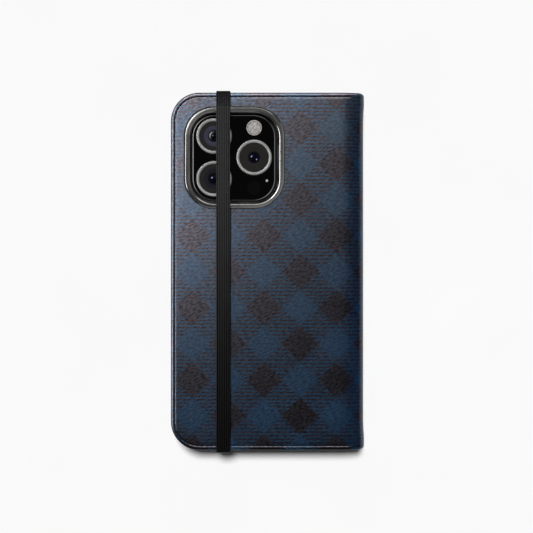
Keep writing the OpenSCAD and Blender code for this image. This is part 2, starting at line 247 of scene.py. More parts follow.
# Soft boxes that face the case, or straight down: name, place, size, strength, pieces lit
SOFT_BOXES = (
    ("end_strip", (-70, 640, 560), (820, 160), 14.5, SKINS),
    ("side_strip", (-620, 110, 560), (900, 160), 14.0, SKINS),
    ("spine_strip", (700, 0, 80), (1600, 160), 0.9, SKINS),
    ("band_strip", (-700, 150, 250), (500, 160), 3.5, STRAP),
    ("rim_strip", (-620, 260, 560), (800, 160), 4.6, BEZEL),
    ("corner_strip", (-350, 350, 560), (260, 300), 1.5, BEZEL),
    ("end_rim_strip", (-60, 640, 560), (900, 160), 2.0, BEZEL),
    ("right_panel", (1000, 0, 250), (1600, 600), 2.5, BEZEL),
    ("near_panel", (0, -1000, 250), (1600, 600), 2.2, BEZEL),
    ("high_panel", (0, 0, 800), (3000, 3000), 3.6, BEZEL),
    ("upper_panel", (0, 825, 700), (3000, 1350), 2.3, BEZEL),
    ("lower_panel", (720, -675, 700), (1560, 1650), 4.4, BEZEL),
    ("corner_panel", (-215, 355, 690), (220, 290), 0.65, BEZEL),
    ("ring_strip", (-620, 260, 560), (800, 160), 3.0, FITTINGS),
    ("ring_end_strip", (-60, 640, 560), (900, 160), 1.1, FITTINGS),
    ("overhead", (0, 0, 700), (3000, 3000), 12.8, FITTINGS),
    ("glint", (-360, 290, 600), (240, 120), 2.0, DOMES),
    ("back_glint", (300, -110, 600), (160, 80), 1.0, DOMES),
)
LEVEL_BOXES = ("high_panel", "upper_panel", "lower_panel", "corner_panel")
WORLD_STRENGTH = 0.04


# Small helpers

def smooth(t):
    """A step from 0 to 1 with soft ends."""
    t = min(max(t, 0.0), 1.0)
    return t * t * (3 - 2 * t)


def spread(start, end, count):
    """Evenly spaced values after start, up to and with end."""
    return [start + (end - start) * k / count for k in range(1, count + 1)]


def srgb(red, green, blue):
    """A colour given as 0 to 255 display values, as linear RGBA."""
    def linear(value):
        share = value / 255
        return share / 12.92 if share <= 0.04045 else ((share + 0.055) / 1.055) ** 2.4
    return (linear(red), linear(green), linear(blue), 1.0)


def scaled(colour, gain, lift=0.0):
    """A colour made lighter or darker."""
    return tuple(min(c * gain + lift, 1.0) for c in colour[:3]) + (1.0,)


def new_object(name, mesh):
    obj = bpy.data.objects.new(name, mesh)
    bpy.context.scene.collection.objects.link(obj)
    return obj


def finish_mesh(name, bm, material, crease=CREASE):
    """A smooth shaded object in metres, from a bmesh drawn in millimetres."""
    bmesh.ops.remove_doubles(bm, verts=bm.verts, dist=WELD)
    bmesh.ops.recalc_face_normals(bm, faces=bm.faces)
    bmesh.ops.scale(bm, vec=(MM, MM, MM), verts=bm.verts)
    mesh = bpy.data.meshes.new(name)
    bm.to_mesh(mesh)
    bm.free()
    shade(mesh, crease)
    mesh.materials.append(material)
    obj = new_object(name, mesh)
    return obj


def shade(mesh, crease):
    mesh.polygons.foreach_set("use_smooth", [True] * len(mesh.polygons))
    mesh.set_sharp_from_angle(angle=radians(crease))


def apply_modifiers(obj):
    graph = bpy.context.evaluated_depsgraph_get()
    mesh = bpy.data.meshes.new_from_object(obj.evaluated_get(graph))
    obj.modifiers.clear()
    obj.data = mesh


def loft(bm, rings, closed_rings=True, closed_loft=False):
    """Quads between rings of as many points each. Returns the rings of vertices."""
    made = [[bm.verts.new(point) for point in ring] for ring in rings]
    count = len(made[0])
    pairs = list(zip(made, made[1:]))
    if closed_loft:
        pairs.append((made[-1], made[0]))
    for a, b in pairs:
        for k in range(count if closed_rings else count - 1):
            n = (k + 1) % count
            bm.faces.new((a[k], a[n], b[n], b[k]))
    return made


def close_holes(bm):
    bmesh.ops.remove_doubles(bm, verts=bm.verts, dist=WELD)
    bmesh.ops.holes_fill(bm, edges=[edge for edge in bm.edges if edge.is_boundary], sides=0)


def capped_loft(bm, rings):
    """A loft closed at both ends by a flat face."""
    made = loft(bm, rings)
    bm.faces.new(made[0])
    bm.faces.new(made[-1])


def rounded_outline(low, high, radii, inset=0.0, steps=10):
    """A rectangle inset from its corners low and high, with its own radius at each corner,
    given in the order +x+y, -x+y, -x-y, +x-y."""
    points = []
    signs = ((1, 1), (-1, 1), (-1, -1), (1, -1))
    for quarter, ((sx, sy), radius) in enumerate(zip(signs, radii)):
        corner_x = high[0] - radius if sx > 0 else low[0] + radius
        corner_y = high[1] - radius if sy > 0 else low[1] + radius
        left = max(radius - inset, 0.0)
        shift = max(inset - radius, 0.0)
        for k in range(steps + 1):
            angle = (quarter + k / steps) * QUARTER
            points.append((corner_x - sx * shift + left * cos(angle),
                           corner_y - sy * shift + left * sin(angle)))
    return points


def at_height(points, z):
    return [(x, y, z) for x, y in points]


def lathe(bm, profile, centre, segments=64):
    """A round piece about a vertical axis, from (radius, height) points."""
    turns = [2 * pi * k / segments for k in range(segments)]
    rings = [[(centre[0] + radius * cos(a), centre[1] + radius * sin(a), z) for a in turns]
             for radius, z in profile]
    return loft(bm, rings, closed_loft=True)


# Materials

class Look:
    """A material with a Principled shader, and short ways to add nodes to it. Its point lies on the
    object or, for a bent sheet, on the sheet laid flat."""

    def __init__(self, name, sheet=False):
        self.material = bpy.data.materials.new(name)
        self.material.use_nodes = True
        self.tree = self.material.node_tree
        self.shader = self.tree.nodes["Principled BSDF"]
        if sheet:
            self.point = self.mark("flat", "Vector")
        else:
            metres = self.add("TexCoord", {}, "Object")
            self.point = self.add("VectorMath", {0: metres, 3: 1 / MM}, operation="SCALE")

    def put(self, socket, value):
        if isinstance(value, bpy.types.NodeSocket):
            self.tree.links.new(value, socket)
        else:
            socket.default_value = value

    def add(self, kind, inputs, output=0, **settings):
        node = self.tree.nodes.new("ShaderNode" + kind)
        for key, value in settings.items():
            setattr(node, key, value)
        for key, value in inputs.items():
            self.put(node.inputs[key], value)
        return node.outputs[output]

    def set(self, **inputs):
        for key, value in inputs.items():
            self.put(self.shader.inputs[key.replace("_", " ")], value)
        return self.material

    def math(self, operation, a, b=0.0, c=0.0):
        return self.add("Math", {0: a, 1: b, 2: c}, operation=operation)

    def split(self):
        """The sockets of the point's x, y and z."""
        node = self.tree.nodes.new("ShaderNodeSeparateXYZ")
        self.put(node.inputs[0], self.point)
        return node.outputs

    def mark(self, name, output="Fac"):
        """A value that the mesh keeps at its points."""
        return self.add("Attribute", {}, output, attribute_name=name)

    def scale_to(self, value, low, high, out_low=0.0, out_high=1.0):
        return self.add("MapRange", {"Value": value, "From Min": low, "From Max": high,
                                     "To Min": out_low, "To Max": out_high})

    def noise_to(self, noise, out_low, out_high):
        """Noise brought to a range of its own."""
        return self.scale_to(noise, NOISE_LOW, NOISE_HIGH, out_low, out_high)

    def mix(self, factor, a, b, blend="MIX"):
        return self.add("Mix", {0: factor, 6: a, 7: b}, 2, data_type="RGBA", blend_type=blend)

    def times(self, colour, factor):
        return self.mix(1.0, colour, factor, "MULTIPLY")

    def noise(self, size, detail=2.0, rough=0.5, point=None):
        """Noise whose blotches are about that many millimetres across."""
        return self.add("TexNoise", {"Vector": point or self.point, "Scale": 1 / size,
                                     "Detail": detail, "Roughness": rough}, "Fac")

    def cells(self, size, feature="F1", output="Distance", point=None):
        return self.add("TexVoronoi", {"Vector": point or self.point, "Scale": 1 / size}, output,
                        feature=feature)

    def bump(self, height, depth):
        """A bump that is depth millimetres deep for a height of 1."""
        return self.add("Bump", {"Height": height, "Strength": 1.0, "Distance": depth * MM})

    def pebbles(self, size, warp, point=None):
        """Leather grain: soft cells with creases between them, 0 in a crease and 1 on a pebble."""
        point = point or self.point
        drift = self.add("TexNoise", {"Vector": point, "Scale": 0.9 / size, "Detail": 2.0}, "Color")
        drift = self.add("VectorMath", {0: drift, 3: warp}, operation="SCALE")
        moved = self.add("VectorMath", {0: point, 1: drift}, operation="ADD")
        edge = self.cells(size, "DISTANCE_TO_EDGE", point=moved)
        return self.add("MapRange", {"Value": edge, "From Min": 0.0, "From Max": 0.32},
                        interpolation_type="SMOOTHSTEP")


def printed_leather():
    """Coated leather with a check of blue, near black and hatched diamonds. Its seam groove is painted
    darker in colour and gloss, as shade.
    """
    look = Look("printed_leather", sheet=True)
    parts = look.split()
    x = look.math("SUBTRACT", parts[0], CHECK_X)
    y = look.math("SUBTRACT", parts[1], CHECK_Y)
    odd = []
    for operation in ("ADD", "SUBTRACT"):
        lane = look.math("DIVIDE", look.math(operation, x, y), CHECK_PITCH)
        odd.append(look.math("PINGPONG", look.math("ROUND", lane), 1.0))
    apart = look.math("ABSOLUTE", look.math("SUBTRACT", odd[0], odd[1]))
    line = look.math("FRACT", look.math("DIVIDE", y, HATCH_PITCH))
    off_line = look.math("ABSOLUTE", look.math("SUBTRACT", line, 0.5))
    hatch = look.scale_to(off_line, HATCH_DARK / 2 - HATCH_BLUR, HATCH_DARK / 2 + HATCH_BLUR)
    same = look.math("MULTIPLY", look.math("SUBTRACT", 1.0, apart), odd[0])
    blue_share = look.math("MULTIPLY_ADD", apart, hatch, same)

    drawn = look.add("Mapping", {"Vector": look.point, "Rotation": (0, 0, radians(GRAIN_TURN)),
                                 "Scale": (GRAIN_STRETCH, 1.0, 1.0)}, vector_type="TEXTURE")
    pebble = look.pebbles(0.75, 0.45, drawn)
    fine = look.noise(0.68, 0.5, 0.5, drawn)
    blotch = look.noise(14.0)
    dark = srgb(2, 0, 4)
    blue = look.mix(blotch, srgb(8, 37, 59), srgb(11, 40, 63))
    # Painted shade: the seam groove's colour and gloss are darkened by its depth
    painted_seam_shade = look.scale_to(look.mark("seam"), 0.05, 0.55, 1.0, 0.62)
    colour = look.mix(blue_share, dark, blue)
    for grain_and_shade in (painted_seam_shade, look.noise_to(fine, 0.8, 1.2)):
        colour = look.times(colour, grain_and_shade)
    gloss = look.mix(blue_share, (0.81, 0.75, 0.88, 1.0), (0.62, 0.75, 0.96, 1.0))
    uneven = look.scale_to(blue_share, 0.0, 1.0, 0.4, 0.27)
    polish = look.math("MULTIPLY_ADD", look.noise_to(fine, -1.0, 1.0), uneven, 1.0)
    for grain_and_shade in (painted_seam_shade, polish):
        gloss = look.times(gloss, grain_and_shade)
    height = look.math("MULTIPLY_ADD", fine, 0.5, pebble)
    return look.set(Base_Color=colour, Roughness=look.scale_to(pebble, 0.0, 1.0, 0.279, 0.275),
                    Specular_IOR_Level=0.55, Specular_Tint=gloss, Normal=look.bump(height, 0.011))


def plain_leather(name, colour, pebble_size, depth, sheet):
    """A plain dark leather with fine grain, for linings and pockets."""
    look = Look(name, sheet)
    pebble = look.pebbles(pebble_size, pebble_size * 0.6)
    fine = look.noise(0.3, 3.0, 0.6)
    blotch = look.noise(18.0, 3.0)
    tone = look.mix(blotch, colour, scaled(colour, 1.35))
    tone = look.times(tone, look.scale_to(pebble, 0.0, 1.0, 0.7, 1.0))
    height = look.math("MULTIPLY_ADD", fine, 0.3, pebble)
    return look.set(Base_Color=tone, Roughness=look.noise_to(fine, 0.5, 0.64),
                    Specular_IOR_Level=0.35, Normal=look.bump(height, depth))


def thread():
    """Waxed thread with a twist."""
    look = Look("thread")
    twist = look.add("TexWave", {"Vector": look.point, "Scale": 0.9, "Distortion": 1.5}, "Fac",
                     bands_direction="DIAGONAL")
    fuzz = look.noise(0.12)
    tone = look.mix(twist, srgb(8, 8, 12), srgb(28, 28, 34))
    return look.set(Base_Color=tone, Roughness=look.noise_to(fuzz, 0.5, 0.7),
                    Specular_IOR_Level=0.15, Normal=look.bump(twist, 0.05))


def elastic():
    """Black woven elastic: cross threads, and valleys between the modelled ribs painted darker in colour
    and gloss, as shade.
    """
    look = Look("elastic")
    parts = look.split()
    reach = BAND_W / 2 * BAND_FIELD
    share = look.scale_to(parts[0], BAND_X - reach, BAND_X + reach, -1.0, 1.0)
    turned = look.math("MULTIPLY", share, pi * BAND_RIBS / 2)
    rib = look.math("ABSOLUTE", look.math("COSINE", turned))
    along = look.math("ADD", parts[1], parts[2])
    cross = look.math("SINE", look.math("MULTIPLY", along, 2 * pi / BAND_WEFT))
    slub = look.noise(0.4, 3.0, 0.6)
    wide = look.noise(9.0)
    # Painted shade: the colour is darker in the valleys between the ribs
    tone = look.mix(look.scale_to(rib, 0.1, 0.7), srgb(1, 1, 1), srgb(11, 11, 11))
    tone = look.times(tone, look.scale_to(cross, -1.0, 1.0, 0.7, 1.1))
    tone = look.times(tone, look.noise_to(wide, 0.85, 1.1))
    height = look.math("MULTIPLY_ADD", slub, 0.8, cross)
    # Painted shade and highlight in the gloss: weaker in the valleys, stronger on the ridges
    return look.set(Base_Color=tone, Roughness=look.noise_to(slub, 0.27, 0.33),
                    Specular_IOR_Level=0.2, Specular_Tint=look.scale_to(rib, 0.15, 0.85, 0.1, 1.3),
                    Normal=look.bump(height, 0.012))


def metal(name, colour, roughness, streak):
    """A metal with fine streaks in its roughness and a little unevenness in its colour."""
    look = Look(name)
    stretched = look.add("Mapping", {"Vector": look.point, "Scale": (1.0, 1.0, 9.0)})
    grain = look.noise(streak, 4.0, 0.65, stretched)
    patch = look.noise(6.0)
    tone = look.mix(look.noise_to(patch, 0.0, 1.0), colour, scaled(colour, 1.25))
    return look.set(Base_Color=tone, Metallic=1.0,
                    Roughness=look.noise_to(grain, roughness * 0.9, roughness * 1.1),
                    Normal=look.bump(grain, 0.001))


def plastic(name, colour, roughness, texture):
    """Moulded plastic with a fine spark-eroded texture."""
    look = Look(name)
    grain = look.noise(texture, 3.0, 0.6)
    patch = look.noise(12.0)
    tone = look.mix(patch, colour, scaled(colour, 1.3, 0.002))
    return look.set(Base_Color=tone, Specular_IOR_Level=0.35,
                    Roughness=look.noise_to(grain, roughness * 0.88, roughness * 1.12),
                    Normal=look.bump(grain, 0.02))


def dark_glass(name, colour, roughness, specular):
    """Coated black glass with faint dust, smear marks in its gloss and a pale ground edge, which has a
    painted highlight on its lit sides.
    """
    look = Look(name)
    smear = look.noise(7.0, 3.0, 0.6)
    dust = look.noise(0.25)
    tone = look.mix(look.scale_to(dust, 0.66, 0.8, 0.0, 0.12), colour, srgb(40, 41, 44))
    # The pale ground edge, with a painted highlight on its lit sides
    tone = look.mix(look.mark("edge"), tone, srgb(163, 163, 163))
    return look.set(Base_Color=tone, Specular_IOR_Level=specular,
                    Roughness=look.noise_to(smear, roughness * 0.8, roughness * 1.3))


def lens_face():
    """The grey baffle of a lens, with the colours that its rings keep, among them a painted reflection.
    """
    look = Look("lens_face")
    grain = look.noise(0.5, 3.0)
    tone = look.times(look.mark("tint", "Color"), look.noise_to(grain, 0.86, 1.1))
    return look.set(Base_Color=tone, Roughness=look.noise_to(grain, 0.3, 0.4),
                    Specular_IOR_Level=0.15, Normal=look.bump(grain, 0.006))


def lens_glass():
    """The domed front element with a blue to violet coating, whose colour is painted on more strongly at
    glancing angles, as a reflection.
    """
    look = Look("lens_glass")
    # Painted reflection: the coating's colour grows towards glancing angles
    facing = look.add("LayerWeight", {"Blend": 0.35}, "Facing")
    swirl = look.noise(2.0)
    tint = look.mix(swirl, srgb(16, 22, 44), srgb(40, 32, 62))
    tone = look.mix(facing, srgb(5, 6, 12), tint)
    return look.set(Base_Color=tone, Roughness=0.12, Specular_IOR_Level=0.4,
                    Specular_Tint=srgb(190, 205, 255))


def flash_lens():
    """A frosted flash window with a mosaic of small facets behind it."""
    look = Look("flash_lens")
    facet = look.cells(FLASH_FACET, output="Color")
    grey = look.add("RGBToBW", {"Color": facet})
    edge = look.cells(FLASH_FACET, "DISTANCE_TO_EDGE")
    tone = look.mix(grey, srgb(132, 128, 126), srgb(190, 186, 182))
    tone = look.mix(look.scale_to(edge, 0.0, 0.1, 0.35, 0.0), tone, srgb(90, 87, 84))
    return look.set(Base_Color=tone, Roughness=look.scale_to(grey, 0.0, 1.0, 0.25, 0.5),
                    Specular_IOR_Level=0.4, Normal=look.bump(grey, 0.03))


def perforated_metal():
    """Bright metal with a close field of small holes, painted darker as the shade inside them."""
    look = Look("microphone_metal")
    hole = look.cells(0.28)
    # Painted shade: the holes are darker, as the shade inside them
    open_share = look.scale_to(hole, 0.22, 0.3, 1.0, 0.0)
    tone = look.mix(open_share, srgb(214, 214, 214), srgb(90, 90, 92))
    return look.set(Base_Color=tone, Metallic=0.6, Roughness=look.scale_to(hole, 0.0, 0.6, 0.5, 0.35),
                    Normal=look.bump(open_share, -0.03))


def pulp_board(name, colour):
    """Grey pressed board, or a tape, with fibres."""
    look = Look(name)
    stretched = look.add("Mapping", {"Vector": look.point, "Scale": (1.0, 0.25, 1.0)})
    fibre = look.noise(0.5, 5.0, 0.7, stretched)
    fleck = look.noise(2.5, 3.0)
    tone = look.mix(look.math("MULTIPLY", fibre, fleck), colour, scaled(colour, 0.72))
    return look.set(Base_Color=tone, Roughness=look.noise_to(fibre, 0.8, 0.95),
                    Specular_IOR_Level=0.2, Normal=look.bump(fibre, 0.03))


LEATHER = printed_leather()
LINING = plain_leather("lining_leather", srgb(38, 38, 42), 0.7, 0.02, True)
POCKET = plain_leather("pocket_leather", srgb(46, 46, 50), 0.8, 0.025, False)
THREAD = thread()
ELASTIC = elastic()
GUNMETAL = metal("gunmetal", srgb(108, 108, 107), 0.14, 0.3)
RING_METAL = metal("lens_ring_metal", srgb(168, 168, 167), 0.5, 0.3)
PHONE_METAL = metal("phone_metal", srgb(48, 48, 50), 0.4, 0.5)
TRAY_PLASTIC = plastic("tray_plastic", srgb(19, 19, 20), 0.55, 0.22)
PHONE_GLASS = dark_glass("phone_glass", srgb(5, 5, 7), 0.07, 0.5)
CAMERA_GLASS = dark_glass("camera_glass", srgb(1, 1, 1), 0.1, 0.05)
SENSOR_GLASS = dark_glass("sensor_glass", srgb(11, 11, 11), 0.2, 0.05)
LENS_FACE = lens_face()
LENS_GLASS = lens_glass()
FLASH = flash_lens()
MICROPHONE = perforated_metal()
BOARD = pulp_board("pulp_board", srgb(120, 116, 108))
ADHESIVE = pulp_board("adhesive_tape", srgb(150, 148, 140))


# Leather covers, bent round the spine from one flat sheet

COLUMNS = ([SHEET_END] + spread(SHEET_END, FOLD_END, 4) + spread(FOLD_END, FOLD_X, 20)
           + spread(FOLD_X, DIP_X, 10) + spread(DIP_X, CORNER_X, 14))


def edge_run(inset):
    """Points (s, y) along the three free edges of a cover, that far inside them."""
    fade = 1 - smooth((inset - 2 * SEAM_INSET) / CORNER_R * 2)
    end_inset = inset + END_LIP * smooth(inset / SEAM_INSET) * fade
    upper = [(s, END_Y - end_inset) for s in COLUMNS]
    for k in range(1, ARC_STEPS + 1):
        angle = QUARTER * (1 + k / ARC_STEPS)
        upper.append((CORNER_X + (CORNER_R - inset) * cos(angle),
                      SIDE_Y + (CORNER_R - end_inset) * sin(angle)))
    side = [(FREE_X + inset, SIDE_Y * (1 - 2 * k / SIDE_STEPS)) for k in range(1, SIDE_STEPS)]
    return upper + side + [(s, -y) for s, y in reversed(upper)]


def fold_point(s, y, h):
    """Where a point of the back cover's flat sheet lies, h above the outer face."""
    if s <= FOLD_X:
        return (s, y, CASE_T + h)
    if s <= FOLD_END:
        angle = (s - FOLD_X) / FOLD_R
        radius = FOLD_R + h
        return (FOLD_X + radius * sin(angle), y, CASE_T - FOLD_R + radius * cos(angle))
    return (SPINE_X + h, y, CASE_T - FOLD_R - (s - FOLD_END))


def flat_place(x, z):
    """The s of a point of the back cover's bent sheet."""
    if x <= FOLD_X:
        return x
    if z >= CASE_T - FOLD_R:
        return FOLD_X + FOLD_R * atan2(x - FOLD_X, z - (CASE_T - FOLD_R))
    return FOLD_END + (CASE_T - FOLD_R - z)


def print_place(s):
    """Where the print is taken from. Seen from above, it foreshortens only where the roll is steep."""
    if s <= FOLD_X:
        return s
    angle = min(s - FOLD_X, FOLD_ARC) / FOLD_R
    turn = min(angle, PRINT_TURN)
    rolled = FOLD_R * (sin(turn) + (angle - turn) * cos(turn))
    return FOLD_X + rolled + max(s - FOLD_END, 0.0)


def sink(s):
    """The leather slopes down past the board's edge and eases into the roll round the spine."""
    slope_l = FOLD_X - DIP_X
    if s <= FOLD_X:
        return -DIP * max(s - DIP_X, 0.0) ** 2 / slope_l ** 2
    t = min((s - FOLD_X) / FOLD_ARC, 1.0)
    level = 2 * t ** 3 - 3 * t ** 2 + 1
    run_on = (t ** 3 - 2 * t ** 2 + t) * 2 * FOLD_ARC / slope_l
    return -DIP * (level + run_on)


def flare(s, y):
    """The leather swells over the spine, most at the ends, where its hem is turned in."""
    from_end = HALF_L - abs(y)
    hem = HEM_FLARE * (1 - smooth((from_end - HEM_FLARE_L) / HEM_FLARE_FADE))
    return (SPINE_SWELL + hem) * smooth((s - FOLD_X) / (0.5 * FOLD_ARC))


def leather_height(s, y, h, groove):
    """The leather's seam groove fades out before the roll."""
    seam = 1 - smooth((s - (FOLD_X - SEAM_END - SEAM_FADE)) / SEAM_FADE)
    return h + groove * seam + sink(s) + flare(s, y)


def lining_height(s, y, h, groove):
    """The lining drops into the fold, between the cover's board and the spine's board."""
    from_end = HALF_L - abs(y)
    gap = smooth((s - BOARD_X) / DROP_START_L) * (1 - smooth((s - (FOLD_END - DROP_END)) / DROP_END_L))
    off_hem = smooth((from_end - TURN_W - DROP_HEM) / DROP_HEM_L)
    return h + BOARD_T * gap * off_hem + groove + sink(s)


def fill_panel(bm, ring, place):
    """The field inside a ring that has shrunk to the corners' centres."""
    columns = len(COLUMNS)
    first_side = columns - 1 + ARC_STEPS
    rows = []
    for j in range(SIDE_STEPS + 1):
        if j == 0:
            row = ring[:columns - 1]
        elif j == SIDE_STEPS:
            row = [ring[-1 - i] for i in range(columns - 1)]
        else:
            y = SIDE_Y * (1 - 2 * j / SIDE_STEPS)
            row = [bm.verts.new(place(s, y)) for s in COLUMNS[:-1]]
        rows.append(list(row) + [ring[first_side + j]])
    for a, b in zip(rows, rows[1:]):
        for i in range(columns - 1):
            bm.faces.new((a[i], a[i + 1], b[i + 1], b[i]))


def cover_sheet(name, profile, height, front, material):
    """Half of the sheet, out to the middle of the spine, with its edge drawn by profile:
    (inset, height, groove) from the underside's middle round the edge to the top's middle."""
    bm = bmesh.new()
    seam = bm.verts.layers.float.new("seam")

    def place(s, y, h, groove=0.0):
        x, y, z = fold_point(s, y, height(s, y, h, groove))
        return (x, y, CASE_T - z) if front else (x, y, z)

    rings = [[place(s, y, h, groove) for s, y in edge_run(inset)] for inset, h, groove in profile]
    made = loft(bm, rings, closed_rings=False)
    # The groove's depth share, which paints shade into the leather's seam groove
    for ring, (inset, h, groove) in zip(made, profile):
        for vertex in ring:
            vertex[seam] = -groove / SEAM_DEPTH
    for ring, (inset, h, groove) in ((made[0], profile[0]), (made[-1], profile[-1])):
        fill_panel(bm, ring, lambda s, y: place(s, y, h))
    close_holes(bm)
    return finish_mesh(name, bm, material)


def cut_window(obj):
    """The camera window, with room for the bezel's wall."""
    lap = BEZEL_RIM - BEZEL_WALL - BEZEL_FIT
    radius = BEZEL_CORNER + BEZEL_RIM - lap
    outline = rounded_outline([c + lap for c in BEZEL_LOW], [c - lap for c in BEZEL_HIGH], [radius] * 4)
    bm = bmesh.new()
    capped_loft(bm, [at_height(outline, BEZEL_LOW[2] - 1), at_height(outline, BEZEL_HIGH[2] + 1)])
    cutter = finish_mesh("window_cutter", bm, obj.data.materials[0])
    cut = obj.modifiers.new("window", "BOOLEAN")
    cut.operation = "DIFFERENCE"
    cut.object = cutter
    apply_modifiers(obj)
    bpy.data.objects.remove(cutter)
    shade(obj.data, CREASE)


def mark_flat(obj, front):
    """Keeps each point's place on the flat sheet, for the print and the grain."""
    marks = obj.data.attributes.new("flat", "FLOAT_VECTOR", "POINT")
    values = []
    for vertex in obj.data.vertices:
        x, y, z = (c / MM for c in vertex.co)
        s = print_place(flat_place(x, CASE_T - z if front else z))
        values += [2 * print_place(SHEET_END) - s if front else s, y, 0.0]
    marks.data.foreach_set("vector", values)


def bend_with_joint(obj, front):
    """Bakes the half's placement into its mesh; it gets no bend or joint."""
    if front:
        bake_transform(obj)
    else:
        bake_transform(obj)


def leather_profile():
    """The skin with its hem turned round the board's edge, and the seam's groove."""
    under = -SKIN_T
    turned = -SKIN_T - BOARD_T
    underside = [(CORNER_R, under, 0), (8.0, under, 0), (TURN_W + HEM_ROUND, under, 0),
                 (TURN_W, under - HEM_ROUND, 0)]
    hem = [(TURN_W, turned + HEM_ROUND, 0), (TURN_W - HEM_ROUND, turned, 0), (1.0, turned, 0),
           (0.5, turned + 0.08, 0)]
    edge = [(0.12, turned + 0.3, 0), (-0.1, turned + 0.52, 0), (-0.2, -0.92, 0), (-0.19, -0.7, 0),
            (-0.09, -0.5, 0), (0.1, -0.33, 0), (0.4, -0.17, 0), (0.65, -0.07, 0), (0.88, -0.03, 0),
            (1.18, -0.03, 0)]
    groove = [(1.28, -0.03, -0.02), (1.4, -0.03, -0.12), (SEAM_INSET, -0.02, -SEAM_DEPTH),
              (1.7, -0.01, -0.23), (1.82, -0.01, -0.14), (1.93, -0.01, -0.06), (2.15, -0.01, -0.015)]
    panel = [(2.6, 0.0, 0), (3.6, 0.0, 0), (5.0, 0.0, 0), (8.0, 0.0, 0), (CORNER_R, 0.0, 0)]
    return underside + hem + edge + groove + panel


def lining_profile():
    upper = -SKIN_T - BOARD_T
    lower = upper - LINING_T
    half = LINING_T / 2
    return [(CORNER_R, lower, 0), (6.0, lower, 0), (LINING_INSET + 0.5, lower, 0),
            (LINING_INSET + 0.16, lower + 0.06, 0), (LINING_INSET, lower + half, 0),
            (LINING_INSET + 0.1, upper - 0.03, 0), (LINING_INSET + 0.4, upper, 0), (6.0, upper, 0),
            (CORNER_R, upper, 0)]


def covers():
    stands_for = {
        "front_leather": ("front_skin", "front_fold", "spine_skin"),
        "back_leather": ("back_skin", "back_fold"),
        "front_lining_sheet": ("front_lining", "spine_lining"),
        "back_lining_sheet": ("back_lining",),
    }
    for side in ("front", "back"):
        front = side == "front"
        leather = cover_sheet(side + "_leather", leather_profile(), leather_height, front,
                              LEATHER)
        lining = cover_sheet(side + "_lining_sheet", lining_profile(), lining_height, front,
                             LINING)
        for obj in (leather, lining):
            if not front:
                cut_window(obj)
            mark_flat(obj, front)
            bend_with_joint(obj, front)
            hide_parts(*stands_for[obj.name])


# Stitching

def stitch(bm, place, heading, up=1):
    """One stitch: a short thread that dives at both ends. up is -1 on a face that looks down."""
    rings = []
    turn = heading + radians(STITCH_SLANT)
    along = Vector((cos(turn), sin(turn), 0))
    across = Vector((-along.y, along.x, 0))
    for k in range(STITCH_RINGS):
        t = 2 * k / (STITCH_RINGS - 1) - 1
        swell = max(1 - abs(t) ** 3, STITCH_TIP)
        drop = up * STITCH_H * STITCH_DIVE * t ** 4
        middle = Vector(place) + along * (t * STITCH_L / 2)
        ring = []
        for n in range(STITCH_SIDES):
            angle = 2 * pi * n / STITCH_SIDES
            side = across * (STITCH_W / 2 * swell * cos(angle))
            ring.append(middle + side + Vector((0, 0, STITCH_H / 2 * swell * sin(angle) - drop)))
        rings.append(ring)
    capped_loft(bm, rings)


def walk(points):
    """Places and headings along a line of points, a stitch apart."""
    lengths = [dist(a, b) for a, b in zip(points, points[1:])]
    total = sum(lengths)
    count = round(total / STITCH_PITCH)
    places = []
    for k in range(count):
        target = (k + 0.5) * total / count
        i = 0
        while target > lengths[i] and i < len(lengths) - 1:
            target -= lengths[i]
            i += 1
        a, b = Vector(points[i]), Vector(points[i + 1])
        place = a.lerp(b, target / lengths[i])
        places.append((place, atan2(b.y - a.y, b.x - a.x)))
    return places


def cover_stitching():
    seam = [(s, y) for s, y in edge_run(SEAM_INSET) if s <= FOLD_X - SEAM_END]
    for side in ("front", "back"):
        bm = bmesh.new()
        for place, heading in walk(seam):
            z = CASE_T - STITCH_SINK + sink(place.x)
            z, up = (CASE_T - z, -1) if side == "front" else (z, 1)
            stitch(bm, (place.x, place.y, z), heading, up)
        obj = finish_mesh(side + "_seam_thread", bm, THREAD)
        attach(obj, side + "_cover")
        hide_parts(side + "_stitching")


# Elastic band

def rounded_path(points, radii):
    """A line through points, with an arc of the given radius at each inner point."""
    path = [Vector(points[0])]
    for before, corner, after, radius in zip(points, points[1:], points[2:], radii):
        corner = Vector(corner)
        a = (Vector(before) - corner).normalized()
        b = (Vector(after) - corner).normalized()
        half = a.angle(b) / 2
        reach = radius / tan(half)
        centre = corner + (a + b).normalized() * (radius / sin(half))
        start, end = corner + a * reach - centre, corner + b * reach - centre
        turn = atan2(start.x * end.y - start.y * end.x, start.dot(end))
        for k in range(BEND_STEPS + 1):
            angle = turn * k / BEND_STEPS
            c, s = cos(angle), sin(angle)
            path.append(centre + Vector((start.x * c - start.y * s, start.x * s + start.y * c)))
    return path + [Vector(points[-1])]


def band_section(thick):
    """The band's cross section (across, out): ribs on its outer face and rounded edges."""
    samples = RIB_SAMPLES * BAND_RIBS
    outer = []
    for k in range(samples + 1):
        share = 2 * k / samples - 1
        field = min(max(share / BAND_FIELD, -1.0), 1.0)
        rib = BAND_RIB_H * (abs(cos(pi * BAND_RIBS * field / 2)) - 1)
        edge = thick * EDGE_DROP * smooth((abs(share) - EDGE_SHARE) / (1 - EDGE_SHARE))
        outer.append((share * BAND_W / 2, thick / 2 + rib - edge))
    inner = [(share * BAND_W / 2, -thick / 2) for share in (0.96, 0.4, -0.4, -0.96)]
    return outer + inner


